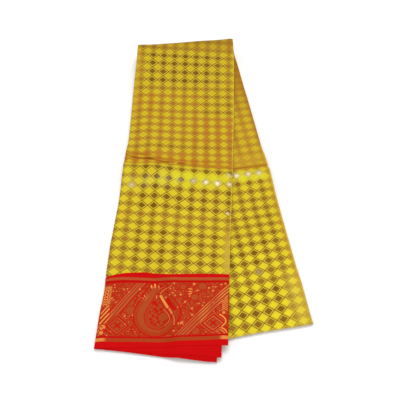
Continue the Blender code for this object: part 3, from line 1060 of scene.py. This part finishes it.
def pathDistance(x, y, path):
    nearest = np.full(x.shape, 1e9)
    for (ax, ay), (bx, by) in zip(path, path[1:]):
        ux, uy = bx - ax, by - ay
        k = np.clip(((x - ax) * ux + (y - ay) * uy) / (ux * ux + uy * uy), 0, 1)
        nearest = np.minimum(nearest, np.hypot(x - ax - k * ux, y - ay - k * uy))
    return nearest


def fillerPattern(x, y):
    # small woven leaves and flowers, close together, that fill the ground of the band
    rng = np.random.default_rng(7)
    pitch = 5.6
    pattern = np.full(x.shape, 0.1)
    for row in range(-1, 24):
        for col in range(-24, 25):
            cx = (col + 0.5 * (row % 2)) * pitch + rng.uniform(-1.5, 1.5)
            cy = row * pitch * 0.87 + rng.uniform(-1.3, 1.3)
            size, turn = rng.uniform(2.6, 4.2), rng.uniform(0, 6.28)
            level = rng.uniform(0.42, 0.6)
            petals, bright = rng.integers(2, 5), rng.uniform(0, 1)
            level = 0.85 if bright > 0.94 - 0.12 * (abs(cx) > 95) else level
            near = (np.abs(x - cx) < 6) & (np.abs(y - cy) < 6)
            dx, dy = x[near] - cx, y[near] - cy
            r, angle = np.hypot(dx, dy), np.arctan2(dy, dx)
            edge = size * (0.78 + 0.22 * np.cos(petals * angle + turn))
            pattern[near] = layAll(pattern[near], outlined(r - edge, level, 0.7))
    return pattern


def discLayers(x, y):
    for *centre, radius in discs:
        yield from outlined(away(x, y, centre) - radius, 0.5, 0.9)


def stripeLayers(x, y):
    # brighter towards the sides of the band, and where the right one catches the light
    glow = np.maximum(0.66 + 0.34 * rise(np.abs(x), 92, 16), 0.92 * np.exp(-(((x - 74) / 22) ** 2)))
    for (ax, ay), (ux, uy), width, lines in stripeBands:
        beside = ((x - ax) * uy - (y - ay) * ux) / math.hypot(ux, uy)
        yield band(beside, -1.4, width + 1.4), 0.04
        yield band(beside, 0, width), 0.5
        for start in lines:
            yield band(beside, start + 1.9, start + 3.1), 0.18
            yield band(beside, start, start + 1.9), glow


def medallionLayers(x, y):
    # a dotted frame round a red cross
    for centre, (halfX, halfY), bright in medallions:
        u, v = (x - centre[0]) / halfX, (y - centre[1]) / halfY
        m = np.abs(u) + np.abs(v)
        dots = 0.5 + (bright - 0.5) * np.clip(0.6 + 1.5 * np.cos(9 * math.pi * (u - v)), 0, 1)
        rings = ((-1, 1.16, 0.04), (0.96, 1.10, dots), (-1, 0.80, 0.5), (0.56, 0.63, 0.05))
        for low, high, level in rings + ((0.66, 0.78, dots),):
            yield band(m, low, high, 0.05), level
        cross = np.minimum(np.abs(u - v), np.abs(u + v))
        yield band(m, -1, 0.46, 0.05) * band(cross, -1, 0.10, 0.05), 0.06


def paisleyLayers(x, y):
    # a ribbed crescent round a drop, with painted highlights at its tip and on its left side
    p = paisley
    inner = pear(x, y, p["belly"], p["bellyRadius"], p["tip"], p["tipRadius"])
    outer = pear(x, y, p["outerBelly"], p["outerRadius"], p["outerTip"], p["outerTipRadius"])
    angle = np.arctan2(y - p["belly"][1], x - p["belly"][0])
    yield from outlined(outer, 0.5, 2.0)
    gaps = rise(outer, -7.5, 2) * (1 - np.clip(0.5 + 2.5 * np.cos(p["ribs"] * angle), 0, 1))
    tips = fall(y, 8, 6) * fall(x, -16, 4) * rise(outer, -9, 2)
    shine = 0.85 * np.exp(-(((x + 43) / 7) ** 2 + ((y - 30) / 6) ** 2)) * rise(outer, -11, 3)
    bright = np.maximum(tips, shine)
    yield band(outer, -1e3, -0.2), (0.5 + 0.5 * bright) * (1 - gaps * (0.45 + 0.45 * bright))
    for low, high, level in ((-1e3, 1.3, 0.06), (-1e3, -0.3, 0.5), (-4.6, -3.6, 0.05)):
        yield band(inner, low, high), level
    vines = np.sin(x / 1.9 + 1.2 * np.sin(y / 3.2)) * np.sin(y / 2.1 + np.sin(x / 3.0))
    yield band(inner, -1e3, -6.0) * np.clip(vines * 2.0 + 0.35, 0, 1), 0.10
    yield band(away(x, y, (-21, 43)), -1, 4.5), 0.04
    yield band(away(x, y, (-2.6, 72.8)), -1, 8.5, 1.5), 0.5
    yield band(pathDistance(x, y, ((4, 38), (10, 48), (18, 58))), -1, 3.4, 1.5), 0.05


def flowerLayers(x, y):
    fan = np.arctan2(y - 62, x - 52)
    yield band(away(x, y, (48, 52)), -1, 10) * np.clip(2.2 * np.cos(13 * fan) - 0.9, 0, 1), 0.12


def sideLayers(x, y):
    # a gold column at the left with red dots, short threads at the right, and three gold discs
    column = fall(x, -105.5, 2) * rise(y, 5, 3) * fall(y - (x + 104) * 0.8, 59, 3)
    yield column, np.clip(0.74 + 0.6 * np.sin((y + 0.9 * x) * 1.45), 0.42, 1.0)
    for cy in (18.8, 26.5, 33.6, 50.0):
        for low, high, level in ((-1, 5.2, 0.2), (1.9, 4.4, 0.97), (-1, 2.0, 0.04)):
            yield column * band(away(x, y, (-113.5, cy)), low, high), level
    threads = rise(x, 105.5, 1.5) * rise(y + (x - 118) * 0.5, 33, 2) * fall(y, 64, 2)
    yield threads, 0.62 + 0.33 * np.sign(np.sin((y - 0.6 * x) * 1.55))
    for *centre, radius in ((-113, 95, 6), (-114.5, 105.5, 4.5), (110.5, 68, 3.5)):
        yield from outlined(away(x, y, centre) - radius, 0.85)
    for centre in ((-115, 93.5), (-110.5, 98.5)):
        yield band(away(x, y, centre), -1, 1.5), 0.04


def brightLayers(x, y):
    for path, half, level in strokes:
        yield from outlined(pathDistance(x, y, path) - half, level, 1.1)
    for *centre, radius, level in glintSpecks:
        yield band(away(x, y, centre), -1, radius * 0.8, 1.2), level


def lineLayers(t, s):
    # the two gold lines, each of several threads. The lower one is brighter at its ends
    for column, half, level, atEnds in ((2, 3.0, 0.60, 0.60), (6, 3.5, 0.50, 0.95)):
        beside = s - readTable(borderTable, column, t)
        glow = level + (atEnds - level) * rise(np.abs(t), 101, 10)
        yield band(beside, -half, half, 0.9), glow * (0.92 + 0.08 * np.cos(beside * 2.4))


def zariPattern(t, s):
    # 0 is red ground, about 0.5 dull bronze, 1 bright gold
    top, bottom = readTable(borderTable, 4, t), readTable(borderTable, 5, t)
    x, y = t, (s - top) / (bottom - top) * bandDepth
    pattern = fillerPattern(x, y)
    motifs = (discLayers, stripeLayers, medallionLayers, paisleyLayers, flowerLayers, sideLayers)
    for layers in motifs + (brightLayers,):
        pattern = layAll(pattern, layers(x, y))
    pattern = pattern * band(s, top, bottom, 0.8) * (1 - rise(x, 117.8, 0.8) * rise(y, 24, 3))
    return np.clip(layAll(pattern, lineLayers(t, s)), 0, 1)


# Rise of the face over the leg in mm: distance below the seam, height
palluRise = ((0, 0.9), (3, 1.9), (9, 1.7), (15, 0.3), (21, 1.0), (50, 3.2), (200, 3.2))
silk = {
    "red": (0.60, 0.003, 0.004, 1),
    "redDeep": (0.42, 0.002, 0.003, 1),
    "redBand": (0.53, 0.007, 0.003, 1),
    "bronze": (0.37, 0.047, 0.009, 1),
    "copper": (0.56, 0.115, 0.035, 1),
    "gold": (0.84, 0.31, 0.06, 1),
    "roughness": 0.6,
    "zariRoughness": 0.5,
    "zariMetal": 0.12,
    "gloss": 0.02,
    "plainRelief": (0.0003, 0.35),
    "threadRelief": (0.0003, 0.4),
    "zariRelief": (0.0005, 0.7),
}


def makeSilk(name, patterned):
    k = silk
    material, tree, shader = makeMaterial(name)
    uv = latticePlaceOf(tree)
    slub, weft, threads = threadNoise(tree, uv, (5, 120, 1))
    colour = blendColour(tree, times(tree, slub, 0.3), k["red"], k["redDeep"])
    # painted shade along the pallu's creases
    colour = blendColour(tree, readAttribute(tree, "fold"), colour, k["redDeep"])
    if patterned:
        zari = readAttribute(tree, "zari")
        stops = ((0.15, k["redBand"]), (0.46, k["bronze"]), (0.66, k["copper"]), (1.0, k["gold"]))
        share = greyRamp(tree, zari, (0.0, 0), (0.04, 1))
        colour = blendColour(tree, share, colour, colourRamp(tree, zari, stops))
        shade = greyRamp(tree, weft, (0.3, 0.84), (0.7, 1.12))
        colour = blendColour(tree, share, colour, blendColour(tree, 1.0, colour, shade, "MULTIPLY"))
        feed(tree, shader, {
            "Roughness": greyRamp(tree, share, (0, k["roughness"]), (1, k["zariRoughness"])),
            "Metallic": times(tree, share, k["zariMetal"]),
            "Normal": bump(tree, zari, k["zariRelief"], bump(tree, threads, k["threadRelief"])),
        })
    else:
        normal = bump(tree, threads, k["plainRelief"])
        feed(tree, shader, {"Roughness": k["roughness"], "Normal": normal})
    feed(tree, shader, {"Base Color": colour, "Specular IOR Level": k["gloss"]})
    return material


palluSilk = makeSilk("red pallu with zari", True)
plainSilk = makeSilk("red pallu, plain", False)


# The red cloth in metres: hems, spacing of its points, where it starts, wall of the two layers below
redCloth = {
    "hemRadius": 0.00025,
    "faceStep": 0.0008,
    "faceStart": 0.647,
    "columnStep": 0.004,
    "step": 0.003,
    "start": 0.70,
    "wall": 0.00035,
    "droop": 0.003,
    "droopRamp": 0.008,
}


def palluRelief(distance, across):
    return 0.15 * mm * np.sin(across / mm / 19 + 1) * np.sin(distance / mm / 17)


def palluLift(distance, across):
    below = distance / mm - readTable(borderTable, 1, across / mm)
    return readTable(palluRise, 1, below) * mm + palluRelief(distance, across)


def hemDroop(distance, across):
    # past the slanting end of the stack the two free layers sink towards the floor
    stackEnd = laid["upperEnd"] - stack["upperInset"] + stackSlant(across / 0.24 + 0.5)
    sunk = redCloth["droop"] * rise(distance, stackEnd, redCloth["droopRamp"])
    return palluRelief(distance, across) - sunk


def hemSlant(share):
    return 0.0025 - 0.0135 * share


def borderLine(s, t, column, shift, width):
    at = readTable(borderTable, column, t) + shift
    return np.exp(-(((s - at) / width) ** 2))


hemRadius = redCloth["hemRadius"]
columns = acrossColumns(redCloth["faceStep"], hemRadius)
start, step = redCloth["faceStart"], redCloth["faceStep"]
rows = alongRows(start, laid["upperEnd"], step, turnStart=True, turnEnd=True, radius=hemRadius)
s, t, points = clothPoints(rows, columns, halfLeg, 1, seamShift, hemSlant, lift=palluLift)
# painted shade along the crease and just below the band
creaseShade = 0.75 * borderLine(s, t, 3, 0, 2) + 0.5 * borderLine(s, t, 5, 2, 1.2)
attributes = {"zari": zariPattern(t, s), "fold": np.clip(creaseShade, 0, 1)}
piece = sheetMesh("pallu_face_cloth", points, 1, upperLatticePlace(s, t), attributes)
finishPiece(piece, "pallu_face", palluSilk, "folded_layers")

columns = acrossColumns(redCloth["columnStep"], hemRadius)
rows = alongRows(redCloth["start"], laid["upperEnd"], redCloth["step"], turnEnd=True, radius=hemRadius)
for name, outer, ends, rightEdge in (
    ("pallu_second", 0.0066, (2.2, 5.5, 9.0, 10.2, 10.5), 0.1088),
    ("pallu_third", 0.0060, (2.3, 6.2, 14.0, 18.0, 17.6), 0.1008),
):
    spread = shiftAcross((0, 0.25, 0.6, 0.85, 1), ends)
    s, t, points = clothPoints(rows, columns, outer, 1, None, spread, rightEdge, hemDroop)
    piece = sheetMesh(name + "_cloth", points, 1, upperLatticePlace(s, t), {"fold": 0.0})
    giveThickness(piece, redCloth["wall"])
    finishPiece(piece, name + "_layer", plainSilk, "folded_layers")


print("floor, light and camera")
studio = {
    "floor": (0.97, 0.97, 0.97, 1),
    "floorSize": 6.0,
    "floorRoughness": 0.9,
    "world": (1, 1, 1, 1),
    "worldStrength": 0.6,
    "key": {"at": (0.08, 0.75, 2.4), "size": 1.5, "energy": 28.5},
    "fill": {"at": (-0.3, -1.5, 2.0), "size": 2.4, "energy": 14},
}

bpy.ops.mesh.primitive_plane_add(size=studio["floorSize"], location=(0, 0, 0))
floor = bpy.context.object
floor.name = "floor"
floorMaterial, tree, shader = makeMaterial("studio floor")
feed(tree, shader, {"Base Color": studio["floor"], "Roughness": studio["floorRoughness"]})
floor.data.materials.append(floorMaterial)

world = bpy.data.worlds.new("studio")
bpy.context.scene.world = world
world.use_nodes = True
background = world.node_tree.nodes["Background"]
feed(world.node_tree, background, {0: studio["world"], 1: studio["worldStrength"]})


def addLight(name, at, size, energy):
    bpy.ops.object.light_add(type="AREA", location=at)
    light = bpy.context.object
    light.name = name
    light.data.shape = "DISK"
    light.data.size = size
    light.data.energy = energy
    light.rotation_euler = (-Vector(at)).to_track_quat("-Z", "Y").to_euler()


for name in ("key", "fill"):
    addLight(name, **studio[name])

shot = {"back": 1.2361, "right": 0.0315, "height": 1.13, "tiltDown": 55, "focal": 58.5}
cameraPlace = (laid["foldX"] + shot["right"], laid["foldY"] - shot["back"], shot["height"])
bpy.ops.object.camera_add(location=cameraPlace)
camera = bpy.context.object
camera.name = "camera"
camera.rotation_euler = (math.radians(90 - shot["tiltDown"]), 0, 0)
camera.data.sensor_width = 36
camera.data.lens = shot["focal"]
bpy.context.scene.camera = camera
bpy.context.scene.view_settings.view_transform = "Standard"
# with its prefilter, the denoiser would smear the fine weave
bpy.context.scene.cycles.denoising_prefilter = "NONE"
